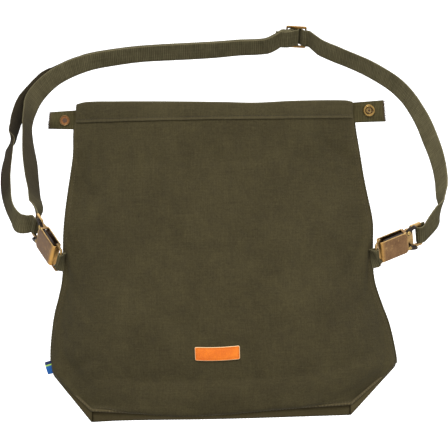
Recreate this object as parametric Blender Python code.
"""Fruit picking bag: canvas body, webbing belt, metal buckles and hardware.

Lengths are millimetres in the code and metres in the scene.  +Z is up (the
mouth of the bag), the front faces -Y and left is -X.  The back panel's outer
face lies in the plane y = 0; the origin is on that face, about level with the
two belt anchors.  The belt rises from a buckle at each side seam and its loop
leans back, towards +Y.
"""
import math
from collections import namedtuple

import bmesh
import bpy
from mathutils import Matrix, Vector

MM = 0.001             # scene metres per millimetre

# ------------------------------------------------------- shared dimensions
CLOTH = 1.2            # canvas thickness
GAP = 0.35             # clearance between neighbouring solids

WEB_W = 20.0           # webbing width
WEB_T = 1.5            # webbing thickness
LAYER = WEB_T + 0.6    # pitch of two webbing layers lying on each other

FRONT = (0, -1, 0)
UP = (0, 0, 1)


# --------------------------------------------------------------- materials
def srgb(red, green, blue):
    """Linear colour from 0-255 sRGB values."""
    def linear(value):
        value /= 255.0
        return value / 12.92 if value <= 0.04045 else ((value + 0.055) / 1.055) ** 2.4
    return (linear(red), linear(green), linear(blue), 1.0)


Surface = namedtuple("Surface", "colour roughness metallic")

CANVAS = Surface(srgb(92, 84, 60), roughness=0.9, metallic=0.0)
GUSSET_CANVAS = Surface(srgb(84, 76, 55), roughness=0.9, metallic=0.0)
HEM_CANVAS = Surface(srgb(93, 86, 63), roughness=0.9, metallic=0.0)
STAY_WHITE = Surface(srgb(225, 222, 214), roughness=0.45, metallic=0.0)
WEBBING = Surface(srgb(94, 89, 66), roughness=0.85, metallic=0.0)
LEATHER = Surface(srgb(236, 140, 50), roughness=0.55, metallic=0.0)
TAG_BLUE = Surface(srgb(20, 90, 160), roughness=0.7, metallic=0.0)
BRASS = Surface(srgb(150, 118, 78), roughness=0.3, metallic=1.0)
PALE_BRASS = Surface(srgb(214, 184, 140), roughness=0.3, metallic=1.0)
PIN_BRASS = Surface(srgb(205, 180, 140), roughness=0.25, metallic=1.0)
DARK_METAL = Surface(srgb(42, 40, 46), roughness=0.4, metallic=0.8)
STEEL = Surface(srgb(150, 150, 155), roughness=0.3, metallic=1.0)


def make_material(name, surface):
    mat = bpy.data.materials.new(name)
    mat.use_nodes = True
    shader = mat.node_tree.nodes["Principled BSDF"]
    shader.inputs["Base Color"].default_value = surface.colour
    shader.inputs["Roughness"].default_value = surface.roughness
    shader.inputs["Metallic"].default_value = surface.metallic
    mat.diffuse_color = surface.colour
    return mat


# ------------------------------------------------------------ scene objects
def clear_scene():
    for ob in list(bpy.data.objects):
        bpy.data.objects.remove(ob, do_unlink=True)
    for mesh in list(bpy.data.meshes):
        bpy.data.meshes.remove(mesh)


def axis_empty(name, at, direction, parent=None):
    """Empty on a joint's axis, its Z along the axis."""
    empty = bpy.data.objects.new(name, None)
    empty.empty_display_type = 'SINGLE_ARROW'
    empty.empty_display_size = 0.02
    bpy.context.scene.collection.objects.link(empty)
    turn = Vector(UP).rotation_difference(Vector(direction).normalized())
    world = Matrix.Translation(Vector(at) * MM) @ turn.to_matrix().to_4x4()
    if parent is not None:
        empty.parent = parent
        empty.matrix_parent_inverse = Matrix.Identity(4)
        empty.matrix_basis = parent.matrix_world.inverted() @ world
    else:
        empty.matrix_world = world
    bpy.context.view_layer.update()
    return empty


def add_object(name, bm, surface, parent=None, smooth_angle=35.0):
    """Turn a bmesh in millimetres into a named object; angle 0 leaves it flat shaded."""
    bmesh.ops.remove_doubles(bm, verts=bm.verts, dist=1e-5)
    bmesh.ops.recalc_face_normals(bm, faces=bm.faces)
    if bm.calc_volume(signed=True) < 0:
        bmesh.ops.reverse_faces(bm, faces=bm.faces)
    bmesh.ops.scale(bm, vec=(MM, MM, MM), verts=bm.verts)
    bpy.context.view_layer.update()
    if parent is not None:
        bmesh.ops.transform(bm, matrix=parent.matrix_world.inverted(), verts=bm.verts)
    mesh = bpy.data.meshes.new(name)
    bm.to_mesh(mesh)
    bm.free()
    ob = bpy.data.objects.new(name, mesh)
    bpy.context.scene.collection.objects.link(ob)
    if parent is not None:
        ob.parent = parent
    mesh.materials.append(make_material(name + "_finish", surface))
    if smooth_angle:
        mesh.shade_smooth()
        mesh.set_sharp_from_angle(angle=math.radians(smooth_angle))
    return ob


# ---------------------------------------------------------- plane outlines
def circle(centre_p, centre_q, radius, count):
    angles = [2 * math.pi * i / count for i in range(count)]
    return [(centre_p + radius * math.cos(a), centre_q + radius * math.sin(a)) for a in angles]


def rectangle(p0, q0, p1, q1):
    return [(p0, q0), (p1, q0), (p1, q1), (p0, q1)]


def mirrored(outline):
    """The outline with its second coordinate negated, in reverse order."""
    return [(p, -q) for p, q in reversed(outline)]


def rounded(outline, radius, steps):
    """Replace each corner of a polygon by a quadratic curve."""
    out = []
    count = len(outline)
    for i in range(count):
        before, corner, after = (Vector(outline[(i + k - 1) % count]) for k in range(3))
        to_before, to_after = before - corner, after - corner
        cut = min(radius, 0.45 * to_before.length, 0.45 * to_after.length)
        start = corner + to_before.normalized() * cut
        end = corner + to_after.normalized() * cut
        for j in range(steps + 1):
            t = j / steps
            out.append(tuple((1 - t) ** 2 * start + 2 * t * (1 - t) * corner + t * t * end))
    return out


# ------------------------------------------------------------ solid builders
def vec(x, y, z):
    return Vector((x, y, z))


def in_elevation(x, z, y):
    """Place a front-elevation point (x, z) at depth y."""
    return vec(x, y, z)


def perpendicular(vector, axis):
    """Unit vector of the part of vector square to a unit axis."""
    return (vector - vector.dot(axis) * axis).normalized()


def heading(points, i, closed=False):
    """Unit direction of a line of points at point i."""
    last = len(points) - 1
    if closed:
        return (points[(i + 1) % len(points)] - points[i - 1]).normalized()
    return (points[min(i + 1, last)] - points[max(i - 1, 0)]).normalized()


def add_rings(bm, rings, closed=False):
    """Skin a list of equal rings of points; cap the ends unless closed."""
    loops = [[bm.verts.new(p) for p in ring] for ring in rings]
    count = len(loops[0])
    pairs = list(zip(loops, loops[1:]))
    if closed:
        pairs.append((loops[-1], loops[0]))
    for a, b in pairs:
        for i in range(count):
            j = (i + 1) % count
            bm.faces.new((a[i], a[j], b[j], b[i]))
    if not closed:
        bm.faces.new(loops[0])
        bm.faces.new(list(reversed(loops[-1])))


def shell_mesh(grid, near, far):
    """Closed skin between two offsets of a grid of (point, normal)."""
    bm = bmesh.new()
    rows, cols = len(grid), len(grid[0])
    f, b = ([[bm.verts.new(p + n * offset) for p, n in row] for row in grid]
            for offset in (near, far))
    for i in range(rows - 1):
        for j in range(cols - 1):
            bm.faces.new((f[i][j], f[i][j + 1], f[i + 1][j + 1], f[i + 1][j]))
            bm.faces.new((b[i][j], b[i + 1][j], b[i + 1][j + 1], b[i][j + 1]))
    for i in range(rows - 1):
        for j in (0, cols - 1):
            bm.faces.new((f[i][j], f[i + 1][j], b[i + 1][j], b[i][j]))
    for j in range(cols - 1):
        for i in (0, rows - 1):
            bm.faces.new((f[i][j], f[i][j + 1], b[i][j + 1], b[i][j]))
    return bm


def plate_mesh(outline, holes, place, low, high):
    """Prism of a plane outline with holes, all lists of (p, q).

    place(p, q, h) gives the point in space; h runs from low to high.
    """
    flat = bmesh.new()
    edges = []
    for loop in [outline] + holes:
        verts = [flat.verts.new((p, q, 0.0)) for p, q in loop]
        for a, b in zip(verts, verts[1:] + verts[:1]):
            edges.append(flat.edges.new((a, b)))
    bmesh.ops.triangle_fill(flat, use_beauty=True, use_dissolve=False, edges=edges)
    flat.verts.index_update()
    bm = bmesh.new()
    bottom, top = {}, {}
    for v in flat.verts:
        bottom[v.index] = bm.verts.new(place(v.co.x, v.co.y, low))
        top[v.index] = bm.verts.new(place(v.co.x, v.co.y, high))
    for face in flat.faces:
        ids = [v.index for v in face.verts]
        bm.faces.new([bottom[i] for i in ids])
        bm.faces.new([top[i] for i in reversed(ids)])
    for edge in flat.edges:
        if len(edge.link_faces) == 1:
            i, j = edge.verts[0].index, edge.verts[1].index
            bm.faces.new((bottom[i], bottom[j], top[j], top[i]))
    flat.free()
    return bm


def lathe_mesh(profile, at, axis, start, segments):
    """Closed profile of (radius, height) turned about an axis, from direction start."""
    axis = Vector(axis).normalized()
    side_0 = perpendicular(Vector(start), axis)
    side_1 = axis.cross(side_0)
    rings = []
    for k in range(segments):
        angle = 2 * math.pi * k / segments
        radial = side_0 * math.cos(angle) + side_1 * math.sin(angle)
        rings.append([Vector(at) + radial * r + axis * h for r, h in profile])
    bm = bmesh.new()
    if min(r for r, h in profile) > 1e-6:
        add_rings(bm, rings, closed=True)
        return bm
    # this profile starts and ends on the axis
    first_pole = bm.verts.new(Vector(at) + axis * profile[0][1])
    last_pole = bm.verts.new(Vector(at) + axis * profile[-1][1])
    loops = [[bm.verts.new(p) for p in ring[1:-1]] for ring in rings]
    for a, b in zip(loops, loops[1:] + loops[:1]):
        bm.faces.new((first_pole, a[0], b[0]))
        bm.faces.new((last_pole, b[-1], a[-1]))
        for i in range(len(a) - 1):
            bm.faces.new((a[i], a[i + 1], b[i + 1], b[i]))
    return bm


def wire_mesh(points, normal, radius, sides, closed):
    """Round wire along points that lie in a plane with the given normal."""
    rings = []
    for i, point in enumerate(points):
        side = heading(points, i, closed).cross(normal).normalized()
        ring = []
        for k in range(sides):
            angle = 2 * math.pi * k / sides
            ring.append(point + side * radius * math.cos(angle)
                        + normal * radius * math.sin(angle))
        rings.append(ring)
    bm = bmesh.new()
    add_rings(bm, rings, closed=closed)
    return bm


def smooth_at(table, key):
    """Smooth cubic through the (key, value) rows of a table, level past its ends."""
    if key <= table[0][0]:
        return table[0][1]
    if key >= table[-1][0]:
        return table[-1][1]
    i = next(k for k in range(len(table) - 1) if key <= table[k + 1][0])

    def slope(row):
        before, after = table[max(0, row - 1)], table[min(len(table) - 1, row + 1)]
        return (after[1] - before[1]) / (after[0] - before[0])

    (key_0, value_0), (key_1, value_1) = table[i:i + 2]
    span = key_1 - key_0
    t = (key - key_0) / span
    rise_0, rise_1 = slope(i) * span, slope(i + 1) * span
    return ((2 * t ** 3 - 3 * t ** 2 + 1) * value_0 + (t ** 3 - 2 * t ** 2 + t) * rise_0
            + (-2 * t ** 3 + 3 * t ** 2) * value_1 + (t ** 3 - t ** 2) * rise_1)


# ------------------------------------------------------------- bag outline
# side seams: (z, x), from the side points up to the mouth
LEFT_SEAM = [
    (-116.5, -171.4), (-108, -173.0), (-100, -173.4), (-92, -173.4), (-72, -171.6),
    (-56, -169.2), (-40, -165.2), (-28, -162.6), (-16, -161.2), (0, -160.9),
    (14, -160.8), (24, -160.6), (40, -159.4), (64, -156.4), (88, -152.8),
    (104, -150.8), (128, -150.4), (145, -148.4)]
RIGHT_SEAM = [
    (-106.7, 172.8), (-96, 171.6), (-67, 165.2), (-48, 158.2), (-32, 152.6),
    (-20, 149.6), (-8, 148.6), (6, 148.4), (18, 148.4), (34, 148.4), (48, 146.2),
    (64, 142.6), (80, 139.4), (104, 135.4), (128, 131.4), (145, 129.4)]
# bottom edges: (x, z), left to right
FRONT_BOTTOM = [(-131.0, -151.6), (-85, -156.2), (-40, -158.8), (0, -157.0), (60, -151.4),
                (125.7, -145.2)]
BACK_BOTTOM = [(-132.6, -164.2), (-101, -162.6), (0, -161.0), (127.0, -157.0)]
# heights at which the back panel follows the side seams
BACK_HEIGHTS = [128, 112, 96, 80, 64, 48, 34, 18, 6, -8, -20, -32, -48, -62, -80, -96]

# hems: ends in x, and upper and lower edges as (x, z)
HEM_X0, HEM_X1 = -148.4, 129.2
HEM_TOP = [(-149, 153.8), (-138, 156.2), (-110, 156.3), (0, 154.9), (31, 154.4),
           (69, 156.6), (121, 158.0), (130, 156.4)]
HEM_LOW = [(-149, 136.3), (-95, 137.3), (0, 138.7), (60, 139.8), (130, 141.2)]
PANEL_TOP = 5.0        # the panels run this far up inside the hems
HEM_Y = -4.8           # middle of the front hem at its two ends
MOUTH_BOW = 46.0       # forward bow of the front hem

# A side of the bag: seam table, x of the hems' end, side point (where the seam
# turns into the chamfer), lower corners of the front and back panels, all
# (x, z), and the sign of x towards the middle of the bag.
Side = namedtuple("Side", "seam hem_x point front_corner back_corner inward")
LEFT_SIDE = Side(LEFT_SEAM, HEM_X0, LEFT_SEAM[0][::-1], FRONT_BOTTOM[0], BACK_BOTTOM[0], 1.0)
RIGHT_SIDE = Side(RIGHT_SEAM, HEM_X1, RIGHT_SEAM[0][::-1], FRONT_BOTTOM[-1], BACK_BOTTOM[-1],
                  -1.0)


def mouth_y(x):
    """Depth of the bowed front hem."""
    off_middle = (x - (HEM_X0 + HEM_X1) / 2) / ((HEM_X1 - HEM_X0) / 2)
    return HEM_Y - MOUTH_BOW * max(0.0, 1 - off_middle * off_middle)


# ----------------------------------------------------- front panel surface
# Panel coordinates: u from left to right, v from the mouth to the bottom.
SEAM_Y = -2.0          # front panel's edge along the side seams
GUSSET_Y = -44.0       # front lower corners
BOTTOM_BOW = 10.0      # further forward bow of the front panel's bottom edge
BELLY = 44.0           # extra fullness of the front panel
V_SIDE = 0.86          # share of the panel's height above the side points
V_FLAT = 0.055         # upright strip under the hem
V_EDGE_BLEND = 0.10    # run below the strip in which the edges reach the seam depth
V_BLEND = 0.12         # run below the strip in which the fullness comes in
FULL_TOP_POWER, FULL_LOW_POWER = 1.15, 0.55    # belly profile from top and from bottom
FULL_SCALE = 0.46      # divides the belly profile, bringing its peak near one
FULL_ACROSS_POWER = 0.62
LOW_DEPTH_SHARE = 0.72  # share of the corners' depth carried by the low middle


def side_edge(side, v):
    """Side of the front panel: down the seam, then along the chamfer to the corner."""
    z_top = smooth_at(HEM_LOW, side.hem_x) + PANEL_TOP
    point_x, point_z = side.point
    if v <= V_SIDE:
        z = z_top + (point_z - z_top) * v / V_SIDE
        return vec(smooth_at(side.seam, z), SEAM_Y, z)
    k = (v - V_SIDE) / (1 - V_SIDE)
    corner_x, corner_z = side.front_corner
    return vec(point_x + (corner_x - point_x) * k,
               SEAM_Y + (GUSSET_Y - SEAM_Y) * k,
               point_z + (corner_z - point_z) * k)


def top_edge(u):
    x_left, x_right = side_edge(LEFT_SIDE, 0.0).x, side_edge(RIGHT_SIDE, 0.0).x
    x = x_left + (x_right - x_left) * u
    return vec(x, mouth_y(x), smooth_at(HEM_LOW, x) + PANEL_TOP)


def bottom_edge(u):
    x_left, x_right = FRONT_BOTTOM[0][0], FRONT_BOTTOM[-1][0]
    x = x_left + (x_right - x_left) * u
    return vec(x, GUSSET_Y - BOTTOM_BOW * (4 * u * (1 - u)) ** 0.7, smooth_at(FRONT_BOTTOM, x))


def front_surface(u, v):
    """Middle surface of the front panel."""
    top, bottom = top_edge(u), bottom_edge(u)
    left, right = side_edge(LEFT_SIDE, v), side_edge(RIGHT_SIDE, v)
    # x and z: a surface blended between the four edges
    p = ((1 - v) * top + v * bottom + (1 - u) * left + u * right
         - ((1 - u) * (1 - v) * top_edge(0) + u * (1 - v) * top_edge(1)
            + (1 - u) * v * bottom_edge(0) + u * v * bottom_edge(1)))
    # depth: its own blend, with an upright strip under the hem
    below = v - V_FLAT
    drop = max(0.0, below / (1 - V_FLAT))
    drop = drop * drop * (3 - 2 * drop) * 0.5 + drop * 0.5
    blend = min(1.0, max(0.0, below / V_BLEND))
    ends = HEM_Y + (left.y - HEM_Y) * min(1.0, max(0.0, below / V_EDGE_BLEND))
    bow_top = (1 - blend) * mouth_y(p.x) + blend * top.y - HEM_Y
    bow_low = bottom.y - GUSSET_Y
    y = ends + (1 - drop) * bow_top + drop * bow_low
    full = v ** FULL_TOP_POWER * (1 - v) ** FULL_LOW_POWER / FULL_SCALE * blend
    y -= BELLY * full * max(0.0, 4 * u * (1 - u)) ** FULL_ACROSS_POWER
    # the middle gains depth downwards; this fades out from the side points to the bottom
    fade = 1.0 if v <= V_SIDE else 1 - (v - V_SIDE) / (1 - V_SIDE)
    corner_depth = SEAM_Y - GUSSET_Y
    y -= (1 - abs(2 * u - 1) ** 6) * drop ** 2 * corner_depth * fade * LOW_DEPTH_SHARE
    return vec(p.x, y, p.z)


def surface_normal(u, v, step=0.004):
    """Unit normal of the front surface, pointing forward, away from the bag."""
    u0, u1 = max(0.0, u - step), min(1.0, u + step)
    v0, v1 = max(0.0, v - step), min(1.0, v + step)
    normal = ((front_surface(u1, v) - front_surface(u0, v))
              .cross(front_surface(u, v1) - front_surface(u, v0)))
    normal.normalize()
    return -normal if normal.y > 0 else normal


def uv_at(x, z):
    """Panel coordinates of the surface point at x, z, found by iteration."""
    u, v = 0.5, 0.5
    panel_size = 300.0
    for _ in range(40):
        p = front_surface(u, v)
        u = min(1.0, max(0.0, u + (x - p.x) / panel_size))
        v = min(1.0, max(0.0, v + (p.z - z) / panel_size))
    return u, v


# ------------------------------------------------------------- bag panels
def build_front_panel():
    cols, rows = 27, 25
    grid = []
    for i in range(rows + 1):
        v = i / rows
        row = []
        for j in range(cols + 1):
            u = 0.5 - 0.5 * math.cos(math.pi * j / cols)    # closer towards the sides
            normal = surface_normal(u, v)
            if v <= V_FLAT:
                normal = vec(normal.x, normal.y, 0.0).normalized()
            row.append((front_surface(u, v), normal))
        grid.append(row)
    add_object("front_panel", shell_mesh(grid, CLOTH / 2, -CLOTH / 2), CANVAS)


def back_side(side):
    """One side of the back panel's outline, from the mouth to the side point."""
    top = (side.hem_x + side.inward * 0.3, smooth_at(HEM_LOW, side.hem_x) + PANEL_TOP - 0.5)
    return [top] + [(smooth_at(side.seam, z), z) for z in BACK_HEIGHTS] + [side.point]


def build_back_panel():
    outline = back_side(LEFT_SIDE) + BACK_BOTTOM + back_side(RIGHT_SIDE)[::-1]
    bm = plate_mesh(outline, [], in_elevation, -CLOTH, 0.0)
    add_object("back_panel", bm, CANVAS, smooth_angle=0)


# --------------------------------------------------------------- gussets
GUSSET_COLS = 6        # faces from front to back


def build_gusset(name, fronts, backs):
    """Cloth strip between a front and a back edge, sagging slightly between them."""
    cols = GUSSET_COLS
    points = [[front.lerp(back, j / cols) for j in range(cols + 1)]
              for front, back in zip(fronts, backs)]
    for row in points:
        sag = min(2.0, 0.03 * (row[0] - row[-1]).length)
        for j in range(1, cols):
            t = j / cols
            row[j].z -= sag * 4 * t * (1 - t)
    grid = []
    for i, row in enumerate(points):
        grid_row = []
        for j in range(cols + 1):
            along = points[min(i + 1, len(points) - 1)][j] - points[max(i - 1, 0)][j]
            across = row[min(j + 1, cols)] - row[max(j - 1, 0)]
            normal = along.cross(across).normalized()
            if normal.z > 0:
                normal = -normal
            grid_row.append((row[j], normal))
        grid.append(grid_row)
    add_object(name, shell_mesh(grid, -CLOTH / 2, CLOTH / 2), GUSSET_CANVAS)


def build_bottom_gusset():
    steps = 22
    end_inset = 1.0
    front_x0, front_x1 = FRONT_BOTTOM[0][0], FRONT_BOTTOM[-1][0]
    back_x0, back_x1 = BACK_BOTTOM[0][0], BACK_BOTTOM[-1][0]
    fronts, backs = [], []
    for i in range(steps + 1):
        x = front_x0 + end_inset + (front_x1 - front_x0 - 2 * end_inset) * i / steps
        u = (x - front_x0) / (front_x1 - front_x0)
        fronts.append(bottom_edge(u) + vec(0.0, 2.6, 0.8))
        x = back_x0 + end_inset + (back_x1 - back_x0 - 2 * end_inset) * u
        backs.append(vec(x, -CLOTH - GAP - 0.1, smooth_at(BACK_BOTTOM, x) + 0.7))
    build_gusset("bottom_gusset", fronts, backs)


def build_corner_gusset(name, side):
    """Gusset along the chamfer between a side point and the lower corners."""
    steps = 8
    start, run = 0.16, 0.82        # share of the chamfer left free, and covered
    point_x, point_z = side.point
    corner_x, corner_z = side.back_corner
    fronts, backs = [], []
    for i in range(steps + 1):
        k = start + run * i / steps
        edge = side_edge(side, V_SIDE + (1 - V_SIDE) * k)
        fronts.append(edge + vec(side.inward * 1.2, 2.4, 1.2))
        backs.append(vec(point_x + (corner_x - point_x) * k, -CLOTH - GAP - 0.2,
                         point_z + (corner_z - point_z) * k + 0.6))
    build_gusset(name, fronts, backs)


# ------------------------------------------------------------------ hems
HEM_OUT = 1.9          # half thickness of a hem
HEM_SLOT = 0.95        # half width of the slot that takes the panel
BACK_HEM_DROP = 2.5    # the back hem's upper edge lies this much lower
STAY_INSET = 3.0       # stiffening strip, from the hem's ends
STAY_HALF = 0.5        # half its thickness


def hem_profile(x, drop):
    """Inverted U as (depth, z), its front ply 1 mm longer than the one behind."""
    top, low = smooth_at(HEM_TOP, x) - drop, smooth_at(HEM_LOW, x)
    return [(-HEM_OUT, low), (-HEM_SLOT, low), (-HEM_SLOT, top - 1.0), (HEM_SLOT, top - 1.0),
            (HEM_SLOT, low + 1.0), (HEM_OUT, low + 1.0), (HEM_OUT, top - 0.7),
            (1.2, top), (-1.2, top), (-HEM_OUT, top - 0.7)]


def stay_profile(x):
    top, low = smooth_at(HEM_TOP, x) - 1.5, smooth_at(HEM_LOW, x) + PANEL_TOP + 0.6
    return rectangle(-STAY_HALF, low, STAY_HALF, top)


def build_strip(name, y_at, inset, steps, profile_at, surface):
    """Upright strip along the mouth; y_at(x) is its middle line."""
    rings = []
    for i in range(steps + 1):
        x = HEM_X0 + inset + (HEM_X1 - HEM_X0 - 2 * inset) * i / steps
        backward = vec(y_at(x - 0.5) - y_at(x + 0.5), 1.0, 0.0).normalized()
        rings.append([vec(x, y_at(x), z) + backward * d for d, z in profile_at(x)])
    bm = bmesh.new()
    add_rings(bm, rings)
    add_object(name, bm, surface)


def build_hems():
    build_strip("front_hem", mouth_y, 0.0, 26, lambda x: hem_profile(x, 0.0), HEM_CANVAS)
    build_strip("back_hem", lambda x: -CLOTH / 2, 0.0, 14,
                lambda x: hem_profile(x, BACK_HEM_DROP), HEM_CANVAS)
    build_strip("hem_stay", mouth_y, STAY_INSET, 22, stay_profile, STAY_WHITE)


# ---------------------------------------------------------- label and tag
LABEL_L, LABEL_H, LABEL_T = 44.2, 13.4, 1.5
LABEL_X, LABEL_Z = -6.5, -93.1         # label's middle
LABEL_TILT = math.radians(2.0)
LABEL_SAG = 0.9                        # its middle hangs lower than its ends
LABEL_LIFT = 0.45                      # clearance from the canvas

# outline (x, z) of the small tag at the left side point
SIDE_TAG = [(-179.2, -104.0), (-174.9, -103.2), (-174.7, -110.0), (-173.9, -115.6),
            (-175.8, -116.3)]


def build_label():
    """Leather label laid on the curved front panel."""
    cols, rows = 8, 4
    grid = []
    for i in range(cols + 1):
        line = []
        sag = LABEL_SAG * (1 - (2 * i / cols - 1) ** 2)
        for j in range(rows + 1):
            along, up = (i / cols - 0.5) * LABEL_L, (j / rows - 0.5) * LABEL_H
            x = LABEL_X + along * math.cos(LABEL_TILT) - up * math.sin(LABEL_TILT)
            z = LABEL_Z + along * math.sin(LABEL_TILT) + up * math.cos(LABEL_TILT) - sag
            u, v = uv_at(x, z)
            line.append((front_surface(u, v), surface_normal(u, v)))
        grid.append(line)
    underside = CLOTH / 2 + LABEL_LIFT
    add_object("leather_label", shell_mesh(grid, underside + LABEL_T, underside), LEATHER)


def build_side_tag():
    bm = plate_mesh(SIDE_TAG, [], in_elevation, -3.2, -2.2)
    add_object("side_tag", bm, TAG_BLUE, smooth_angle=0)


# ------------------------------------------------------------- snap tabs
TAB_T = 1.6
TAB_Y = -3.2           # middle plane of the two tabs
TAB_HOLE_R = 2.3
SNAP_LEFT = (-159.7, 137.9)            # snap centres (x, z)
SNAP_RIGHT = (145.5, 147.9)
# tab outlines (x, z)
TAB_LEFT = [(-152.9, 128.6), (-152.9, 148.4), (-174.6, 147.6), (-175.3, 128.4)]
TAB_RIGHT = [(132.9, 135.9), (160.8, 137.2), (159.6, 158.0), (132.9, 155.8)]

# snap profiles: (radius, height in front of the tab's middle plane)
POST = [(1.3, -1.9), (2.0, -1.9), (2.0, 1.15), (5.2, 1.15), (5.2, 1.5), (4.5, 2.2),
        (2.7, 2.2), (1.9, 1.6), (1.3, 1.4)]
STUD = [(2.35, -1.15), (5.2, -1.15), (5.2, -1.6), (3.5, -1.9), (3.0, -2.4), (3.3, -3.5),
        (2.9, -4.2), (2.35, -4.2)]
SOCKET = [(2.35, 1.15), (6.0, 1.15), (6.0, 2.3), (5.3, 3.1), (4.3, 3.1), (3.7, 2.5),
          (3.7, 1.9), (2.35, 1.9)]
CAP = [(0.0, -2.7), (3.4, -2.5), (5.6, -1.9), (6.2, -1.15), (2.0, -1.15), (2.0, 2.2),
       (1.3, 2.2), (1.3, -1.4), (0.0, -1.4)]


def build_tab(name, outline, snap_centre, hinge):
    bm = plate_mesh(outline, [circle(*snap_centre, TAB_HOLE_R, 20)], in_elevation,
                    TAB_Y - TAB_T / 2, TAB_Y + TAB_T / 2)
    add_object(name, bm, WEBBING, parent=hinge, smooth_angle=0)


def build_snap(name, profile, centre, hinge, surface):
    bm = lathe_mesh(profile, (centre[0], TAB_Y, centre[1]), FRONT, UP, 32)
    add_object(name, bm, surface, parent=hinge)


def build_tabs():
    left_hinge = axis_empty("axis_tab_left", (-152.6, TAB_Y, 138.5), UP)
    right_hinge = axis_empty("axis_tab_right", (132.6, TAB_Y, 146.0), (0, 0, -1))
    build_tab("tab_left", TAB_LEFT, SNAP_LEFT, left_hinge)
    build_tab("tab_right", TAB_RIGHT, SNAP_RIGHT, right_hinge)
    # left: flanged post through the tab from the front, stud behind
    build_snap("snap_post", POST, SNAP_LEFT, left_hinge, PALE_BRASS)
    build_snap("snap_stud", STUD, SNAP_LEFT, left_hinge, BRASS)
    # right: socket in front, domed cap behind with its shank
    build_snap("snap_socket", SOCKET, SNAP_RIGHT, right_hinge, PALE_BRASS)
    build_snap("snap_cap", CAP, SNAP_RIGHT, right_hinge, BRASS)


# --------------------------------------------------------------- buckles
# Positions in a buckle are (along, across, out), see Buckle.
PLATE_L = 32.0         # housing length
PLATE_W = 25.0         # housing width
PLATE_H = 10.0         # housing overall thickness
SHEET = 1.4            # its sheet metal
POST_ALONG = (28.5, 31.5)              # catch posts
POST_ACROSS = (11.75, 12.9)

BARREL_ALONG = 3.1     # ring's bar inside the housing's bend
RING_L = 11.0          # belt ring, centre to centre of its long bars
RING_W = 28.0          # and of its short ones
RING_R = 1.2           # wire radius
RING_CORNER = 2.6      # corner radius

BAR_ALONG = 48.35      # centre of the webbing bar of the insert
BAR_OUT = -1.45
WRAP_R = 3.1           # webbing's middle surface round that bar
PIVOT_ALONG = 34.5     # lever pivots
PIVOT_ACROSS = 9.6
PIN_R = 1.2
PIN_HOLE_R = PIN_R + 0.3
INSERT_OUT = (-2.6, -0.3)              # insert, back and front face
LEVER_OUT = (0.0, 2.8)                 # levers, back and front face
SPRING_OUT = 1.3
SPRING_R = 0.55        # spring wire radius

# outlines (along, across); the insert's half is the one below the middle line
LEVER = [(5.8, 6.6), (5.6, 9.0), (6.8, 10.9), (9.0, 11.35), (31.6, 11.35), (33.0, 12.2),
         (36.0, 13.2), (41.6, 14.8), (43.6, 14.0), (43.2, 11.6), (38.9, 11.1), (38.0, 8.4),
         (36.6, 6.6), (33.0, 6.0), (28.0, 5.9), (14.0, 6.3)]
INSERT_HALF = [(11.6, -1.6), (13.2, -2.9), (28.8, -2.9), (30.8, -6.0), (31.6, -11.2),
               (37.4, -11.6), (38.6, -14.0), (50.4, -14.0)]
INSERT_OPENING = rectangle(40.4, -11.0, 46.7, 11.0)
# pivot pin with two heads: (radius, out)
PIN = [(0.0, 3.9), (1.5, 3.8), (2.1, 3.15), (PIN_R, 3.15), (PIN_R, -2.95), (2.1, -2.95),
       (1.5, -3.6), (0.0, -3.7)]


class Frame:
    """Local axes of a piece: along, across, and out towards its facing side."""

    def __init__(self, origin, along, across, facing):
        self.origin = Vector(origin)
        self.along = Vector(along).normalized()
        self.across = perpendicular(Vector(across), self.along)
        self.out = self.along.cross(self.across)
        if self.out.dot(Vector(facing)) < 0:
            self.out = -self.out

    def at(self, along, across, out):
        return self.origin + self.along * along + self.across * across + self.out * out


class Buckle(Frame):
    """Frame of one side-release buckle.

    along runs from the housing's closed end towards the belt, across towards
    the buckle's upper side, and out of its front plate.  The ring lies
    backwards along the buckle, folded forward by ring_fold.
    """

    def __init__(self, tag, origin, along, across, ring_fold):
        super().__init__(origin, along, across, FRONT)
        self.tag = tag
        self.ring_along = -self.along * math.cos(ring_fold) + self.out * math.sin(ring_fold)
        self.barrel = self.at(BARREL_ALONG, 0.0, 0.0)
        self.anchor = self.barrel + self.ring_along * RING_L
        self.bar = self.at(BAR_ALONG, 0.0, BAR_OUT)

    def near_bar(self, along, out):
        """Webbing station at an offset from the webbing bar."""
        return self.at(BAR_ALONG + along, 0.0, BAR_OUT + out), self.across


def build_ring(buckle, parent):
    """Rounded rectangular wire ring between the housing and its webbing loop."""
    centre = (buckle.barrel + buckle.anchor) / 2
    corner_p, corner_q = RING_W / 2 - RING_CORNER, RING_L / 2 - RING_CORNER
    points = []
    for sign_p, sign_q, start in ((1, 1, 0.0), (-1, 1, 90.0), (-1, -1, 180.0), (1, -1, 270.0)):
        for k in range(5):
            angle = math.radians(start + 90.0 * k / 4)
            p = sign_p * corner_p + RING_CORNER * math.cos(angle)
            q = sign_q * corner_q + RING_CORNER * math.sin(angle)
            points.append(centre + buckle.across * p + buckle.ring_along * q)
    normal = buckle.across.cross(buckle.ring_along).normalized()
    bm = wire_mesh(points, normal, RING_R, 10, closed=True)
    add_object("belt_ring_" + buckle.tag, bm, BRASS, parent=parent)


def join_solid(ob, other):
    """Merge another object into ob by a boolean union, and remove it."""
    mod = ob.modifiers.new("post", 'BOOLEAN')
    mod.operation = 'UNION'
    mod.solver = 'EXACT'
    mod.object = other
    bpy.context.view_layer.update()
    depsgraph = bpy.context.evaluated_depsgraph_get()
    mesh = bpy.data.meshes.new_from_object(ob.evaluated_get(depsgraph))
    ob.modifiers.clear()
    ob.data = mesh
    bpy.data.objects.remove(other, do_unlink=True)


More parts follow.
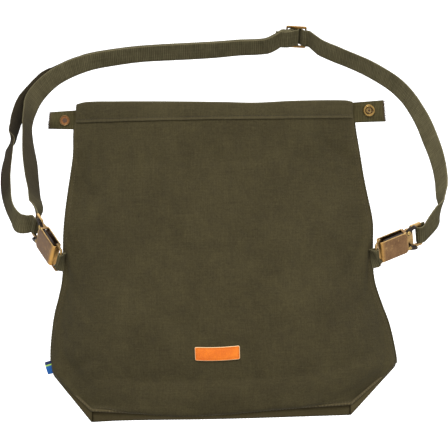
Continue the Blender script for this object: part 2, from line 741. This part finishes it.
def build_housing(buckle, parent):
    """Folded sheet housing: front and back plate joined by a bend at the bag end."""
    name = "buckle_%s_housing" % buckle.tag
    half = PLATE_H / 2
    # front half of the section (along, out): outer face, then inner face
    outer = [(PLATE_L, half), (2.6, half), (1.2, half - 0.5), (0.4, half - 1.4),
             (0.0, half - 2.8)]
    inner = [(1.4, half - 3.0), (1.9, half - 1.9), (2.9, half - SHEET), (PLATE_L, half - SHEET)]
    section = outer + mirrored(outer) + mirrored(inner) + inner
    bm = bmesh.new()
    add_rings(bm, [[buckle.at(along, across, out) for along, out in section]
                   for across in (-PLATE_W / 2, PLATE_W / 2)])
    housing = add_object(name, bm, BRASS, parent=parent)
    # catch posts between the plates, one at each open side of the mouth
    near, far = POST_ACROSS
    for across_0, across_1 in ((near, far), (-far, -near)):
        corners = rectangle(POST_ALONG[0], across_0, POST_ALONG[1], across_1)
        bm = bmesh.new()
        add_rings(bm, [[buckle.at(along, across, out) for along, across in corners]
                       for out in (-half + 0.5, half - 0.5)])
        post = add_object(name + "_post", bm, BRASS, parent=parent, smooth_angle=0)
        join_solid(housing, post)
    housing.data.name = name


def build_insert(buckle, slide):
    holes = [circle(PIVOT_ALONG, PIVOT_ACROSS, PIN_HOLE_R, 14),
             circle(PIVOT_ALONG, -PIVOT_ACROSS, PIN_HOLE_R, 14),
             rounded(INSERT_OPENING, 1.0, 2)]
    outline = rounded(INSERT_HALF + mirrored(INSERT_HALF), 1.2, 2)
    bm = plate_mesh(outline, holes, buckle.at, *INSERT_OUT)
    add_object("buckle_%s_insert" % buckle.tag, bm, BRASS, parent=slide)


def build_lever(buckle, slide, level, sign):
    """One lever with its pivot pin; sign is +1 for the upper lever, -1 for the lower."""
    across = sign * PIVOT_ACROSS
    centre = buckle.at(PIVOT_ALONG, across, 0.0)
    pivot = axis_empty("axis_lever_%s_%s" % (buckle.tag, level), centre,
                       buckle.along.cross(buckle.across), parent=slide)
    outline = [(p, q * sign) for p, q in LEVER]
    bm = plate_mesh(rounded(outline, 0.9, 2), [circle(PIVOT_ALONG, across, PIN_HOLE_R, 14)],
                    buckle.at, *LEVER_OUT)
    add_object("buckle_%s_lever_%s" % (buckle.tag, level), bm, DARK_METAL, parent=pivot)
    bm = lathe_mesh(PIN, centre, buckle.out, buckle.along, 16)
    add_object("buckle_%s_pin_%s" % (buckle.tag, level), bm, PIN_BRASS, parent=slide)


def build_spring(buckle, slide):
    """Hairpin spring between the two levers."""
    upper_leg = [(13.5 + 4.0 * k, 4.9 - 0.35 * k) for k in range(3)]
    bend = []
    for k in range(7):
        angle = math.pi * (k + 0.5) / 7.0
        bend.append((22.6 + 3.6 * math.sin(angle), 4.0 * math.cos(angle)))
    points = [buckle.at(along, across, SPRING_OUT)
              for along, across in upper_leg + bend + mirrored(upper_leg)]
    bm = wire_mesh(points, buckle.out, SPRING_R, 8, closed=False)
    add_object("buckle_%s_spring" % buckle.tag, bm, STEEL, parent=slide)


def build_anchor_loop(buckle, parent):
    """Webbing loop round the ring's far bar, at the bag's side seam."""
    inner_r = RING_R + GAP
    outer_r = inner_r + WEB_T
    inward = vec(-1.0 if buckle.anchor.x > 0 else 1.0, 0.0, -0.25)
    section = rectangle(inner_r, -WEB_W / 2, outer_r, WEB_W / 2)
    bm = lathe_mesh(section, buckle.anchor, buckle.across, inward, 16)
    add_object("anchor_loop_" + buckle.tag, bm, WEBBING, parent=parent)


def build_buckle(buckle, belt_hinge):
    build_housing(buckle, belt_hinge)
    build_ring(buckle, belt_hinge)
    slide = axis_empty("axis_buckle_%s_release" % buckle.tag, buckle.origin, buckle.along,
                       parent=belt_hinge)
    build_insert(buckle, slide)
    build_lever(buckle, slide, "upper", 1.0)
    build_lever(buckle, slide, "lower", -1.0)
    build_spring(buckle, slide)
    build_anchor_loop(buckle, belt_hinge)


# ------------------------------------------------------------------ belt
# Runs of webbing: (x, z) of its rear edge, (x, z) of its front edge.
INNER_RUN = [  # inner layer, from the tri-glide to the left bar
    ((44.0, 204.6), (42.0, 218.6)), ((16.0, 202.8), (16.0, 217.0)),
    ((-12.0, 200.1), (-11.0, 215.1)), ((-50.0, 198.0), (-48.0, 213.2)),
    ((-82.0, 196.3), (-85.0, 210.8)), ((-111.0, 192.6), (-117.0, 206.6)),
    ((-131.0, 189.0), (-139.4, 202.0)), ((-148.5, 183.2), (-159.0, 194.8)),
    ((-163.5, 175.8), (-175.4, 185.2)), ((-175.5, 166.4), (-189.4, 172.0)),
    ((-184.2, 156.5), (-197.8, 159.0)), ((-190.2, 146.0), (-199.4, 147.0)),
    ((-195.4, 134.5), (-199.2, 134.5)), ((-199.1, 123.0), (-193.6, 123.0)),
    ((-199.4, 110.0), (-190.8, 110.0)), ((-199.2, 96.0), (-188.4, 96.0)),
    ((-197.8, 80.0), (-187.0, 80.0)), ((-194.8, 64.0), (-185.8, 65.0)),
    ((-191.0, 50.4), (-184.4, 53.4))]
OUTER_RUN = [  # outer layer's own way between its parting from the inner and the left bar
    ((-174.2, 171.6), (-186.6, 180.8)), ((-185.2, 162.8), (-196.6, 170.0)),
    ((-193.8, 155.0), (-204.4, 159.6)), ((-198.8, 146.5), (-209.2, 148.6)),
    ((-203.8, 138.0), (-212.3, 138.6)), ((-208.4, 127.0), (-214.0, 127.4)),
    ((-214.4, 116.0), (-212.0, 116.0)), ((-218.0, 106.0), (-212.7, 106.0)),
    ((-221.2, 93.0), (-213.6, 93.0)), ((-222.4, 79.0), (-214.4, 79.0)),
    ((-221.8, 65.0), (-213.0, 65.4)), ((-218.2, 51.0), (-210.8, 53.2)),
    ((-213.4, 38.0), (-206.4, 47.0)), ((-207.2, 28.6), (-200.2, 44.4))]
RIGHT_RUN = [  # single layer, from the tri-glide to the right bar
    ((94.0, 203.4), (98.0, 218.0)), ((107.0, 197.6), (113.6, 211.0)),
    ((122.4, 191.6), (129.0, 204.4)), ((138.6, 184.4), (146.4, 196.8)),
    ((153.8, 176.4), (163.2, 187.0)), ((166.6, 168.2), (177.0, 177.0)),
    ((177.9, 158.0), (188.8, 164.1)), ((186.6, 146.4), (197.8, 150.0)),
    ((193.8, 134.2), (205.4, 135.5)), ((199.4, 120.4), (211.4, 121.7)),
    ((205.6, 107.0), (216.4, 106.4)), ((210.2, 93.0), (219.8, 92.4)),
    ((213.0, 79.0), (221.6, 78.4)), ((214.4, 65.0), (221.2, 64.6)),
    ((217.4, 52.6), (218.6, 54.4)), ((217.0, 41.4), (212.4, 50.0)),
    ((213.4, 30.0), (207.0, 44.6))]
SLIDER_STATION = ((72.2, 211.4), (71.4, 226.8))
SHARED_STATIONS = 9    # inner stations up to where the two layers part

BELT_RAKE = 1.1        # the belt loop leans back: depth gained per height
BELT_Y = -11.0         # its depth at x = 0, z = 0
BELT_SKEW = 0.02       # depth lost per x
FLARE_LENGTH = 3500.0  # the loop flares towards the back, by 1 in this depth
FLARE_Y = -15.0        # depth without flare
FLARE_Z = 34.0         # height the flare spreads from
MAX_FLAT = 0.97        # greatest share of the webbing's width seen from the front
LOOP_MIDDLE = vec(0.0, 60.0, 60.0)     # a point inside the loop

SLIDER_L = 22.0        # tri-glide, along the webbing
SLIDER_W = 26.4        # tri-glide, across the webbing
SLIDER_LIFT = 4.3      # its middle above the belt's station
BAR_HALF = 0.95        # half thickness and half width of its bars
SLOT_HALF = WEB_W / 2 + 0.7            # half length of its slots
MIDDLE_WRAP_R = 2.4    # webbing's middle surface round the middle bar
UNDER = 2.75           # and below the middle of the two end bars
END_BAR = 10.4         # where the webbing passes the end bars

# Ways through the tri-glide: (along, out) in its frame; the wearer is at -out.
SLIDER_TAIL = [(-22.0, -7.3), (-16.0, -7.2), (-END_BAR, -UNDER - 2 * LAYER - 0.1),
               (-6.6, -6.0), (-3.4, -4.1)]
SLIDER_RETURN = [(-4.0, -0.7), (-6.2, -3.0), (-7.9, -4.4), (-END_BAR, -UNDER - LAYER),
                 (-15.0, -4.9)]
SLIDER_RISE = [(-END_BAR, -UNDER), (-8.6, -2.2), (-6.4, -0.2), (-4.3, 2.0), (-3.0, 3.4),
               (-1.2, 4.4)]
SLIDER_FALL = [(-along, out) for along, out in reversed(SLIDER_RISE)]


def station(edges):
    """Middle of the webbing and its direction across, from its two edges in elevation."""
    (rear_x, rear_z), (front_x, front_z) = edges
    mid_x, mid_z = (rear_x + front_x) / 2, (rear_z + front_z) / 2
    y = BELT_RAKE * mid_z + BELT_Y - BELT_SKEW * mid_x
    flare = 1.0 + (y - FLARE_Y) / FLARE_LENGTH
    centre = vec(mid_x * flare, y, FLARE_Z + (mid_z - FLARE_Z) * flare)
    dx, dz = (front_x - rear_x) * flare / WEB_W, (front_z - rear_z) * flare / WEB_W
    flat = math.hypot(dx, dz)
    if flat > MAX_FLAT:
        dx, dz, flat = dx * MAX_FLAT / flat, dz * MAX_FLAT / flat, MAX_FLAT
    return centre, vec(dx, -math.sqrt(1 - flat * flat), dz)


def catmull(p0, p1, p2, p3, t):
    return 0.5 * ((2 * p1) + (p2 - p0) * t + (2 * p0 - 5 * p1 + 4 * p2 - p3) * t * t
                  + (3 * p1 - p0 - 3 * p2 + p3) * t ** 3)


def resample(stations, steps=2):
    """Smooth line of stations through the given ones, in steps per interval."""
    out = []
    last = len(stations) - 1
    for i in range(last):
        around = [stations[min(last, max(0, i + k))] for k in (-1, 0, 1, 2)]
        for k in range(steps):
            t = k / steps
            out.append((catmull(*(centre for centre, across in around), t),
                        catmull(*(across for centre, across in around), t).normalized()))
    out.append(stations[-1])
    return out


def round_bar(centre, side_0, side_1, across, radius, start, end, steps):
    """Stations of webbing round a bar, turning from side_0 to side_1, in degrees."""
    out = []
    for k in range(steps + 1):
        angle = math.radians(start + (end - start) * k / steps)
        point = centre + side_0 * (radius * math.cos(angle)) + side_1 * (radius * math.sin(angle))
        out.append((point, across))
    return out


def outwards(stations, offset):
    """Offset stations to the outside of the loop."""
    centres = [centre for centre, across in stations]
    out = []
    for i, (centre, across) in enumerate(stations):
        normal = across.cross(heading(centres, i)).normalized()
        if normal.dot(centre - LOOP_MIDDLE) < 0:
            normal = -normal
        out.append((centre + normal * offset, across))
    return out


def slider_frame():
    """Frame of the tri-glide; out is upwards, away from the wearer."""
    centre, across = station(SLIDER_STATION)
    frame = Frame(centre, (1.0, 0.0, -0.06), across, UP)
    frame.origin = frame.at(0.0, 0.0, SLIDER_LIFT)
    return frame


def belt_path(slider, left, right):
    """The webbing's stations, from its sewn tail to its end at the right buckle."""
    def in_slider(places):
        return [(slider.at(along, 0.0, out), slider.across) for along, out in places]

    # tail on the wearer's side, round the middle bar and back to the left
    path = in_slider(SLIDER_TAIL)
    path += round_bar(slider.origin, slider.along, slider.out, slider.across, MIDDLE_WRAP_R,
                      -112.0, 136.0, 12)
    path += in_slider(SLIDER_RETURN)
    # inner layer, then the wrap round the left bar
    inner = in_slider(SLIDER_RETURN[-1:]) + [station(edges) for edges in INNER_RUN]
    inner.append(left.near_bar(5.0, -WRAP_R))
    path += resample(inner)[1:]
    path += round_bar(left.bar, -left.along, -left.out, left.across, WRAP_R, 90.0, -90.0, 8)
    # outer layer: on its own at first, then lying on the inner one
    shared = outwards(resample(inner[:SHARED_STATIONS]), LAYER)[::-1]
    own = [left.near_bar(3.0, WRAP_R)] + [station(edges) for edges in reversed(OUTER_RUN)]
    own.append(shared[0])
    path += resample(own)[:-1] + shared[:-1]
    # over the middle bar, under the two end bars, and away to the right
    path += in_slider([(-15.0, -4.9 + LAYER)] + SLIDER_RISE + SLIDER_FALL)
    away = in_slider([(END_BAR, -UNDER), (15.0, -3.5)])
    away += [station(edges) for edges in RIGHT_RUN] + [right.near_bar(4.0, WRAP_R)]
    path += resample(away)[1:]
    path += round_bar(right.bar, -right.along, right.out, right.across, WRAP_R, 90.0, -90.0, 8)
    path += [right.near_bar(4.0, -WRAP_R), right.near_bar(8.0, 0.3 - WRAP_R)]
    return path


def build_webbing(path, belt_hinge):
    centres = [centre for centre, across in path]
    half_w, half_t = WEB_W / 2, WEB_T / 2
    rings = []
    for i, (centre, across) in enumerate(path):
        along = heading(centres, i)
        across = perpendicular(across, along)
        normal = along.cross(across).normalized()
        rings.append([centre + across * p + normal * q for p, q in
                      ((half_w, half_t), (half_w, -half_t), (-half_w, -half_t),
                       (-half_w, half_t))])
    bm = bmesh.new()
    add_rings(bm, rings)
    add_object("belt_webbing", bm, WEBBING, parent=belt_hinge)


def build_slider(slider, belt_hinge):
    """Tri-glide: a plate with two slots, leaving three bars of square section."""
    adjust = axis_empty("axis_slider_adjust", slider.origin, slider.along, parent=belt_hinge)
    half_l, half_w = SLIDER_L / 2, SLIDER_W / 2
    slot_end = half_l - 2 * BAR_HALF
    outline = rounded(rectangle(-half_l, -half_w, half_l, half_w), 2.0, 3)
    holes = [rounded(rectangle(start, -SLOT_HALF, end, SLOT_HALF), 0.5, 2)
             for start, end in ((-slot_end, -BAR_HALF), (BAR_HALF, slot_end))]
    bm = plate_mesh(outline, holes, slider.at, -BAR_HALF, BAR_HALF)
    add_object("slider", bm, BRASS, parent=adjust)


def build_belt():
    left = Buckle("left", origin=(-168.9, -3.3, 1.9), along=(-0.470, 0.600, 0.647),
                  across=(0.216, -0.658, 0.721), ring_fold=0.0)
    right = Buckle("right", origin=(155.0, -1.5, 6.6), along=(0.880, 0.318, 0.352),
                   across=(-0.116, -0.620, 0.776), ring_fold=math.radians(36))
    # the whole belt swings about the line through its two anchors
    belt_hinge = axis_empty("axis_belt_swing", (right.anchor + left.anchor) / 2,
                            right.anchor - left.anchor)
    build_buckle(left, belt_hinge)
    build_buckle(right, belt_hinge)
    slider = slider_frame()
    build_webbing(belt_path(slider, left, right), belt_hinge)
    build_slider(slider, belt_hinge)


clear_scene()
build_front_panel()
build_back_panel()
build_bottom_gusset()
build_corner_gusset("corner_gusset_left", LEFT_SIDE)
build_corner_gusset("corner_gusset_right", RIGHT_SIDE)
build_hems()
build_label()
build_side_tag()
build_tabs()
build_belt()
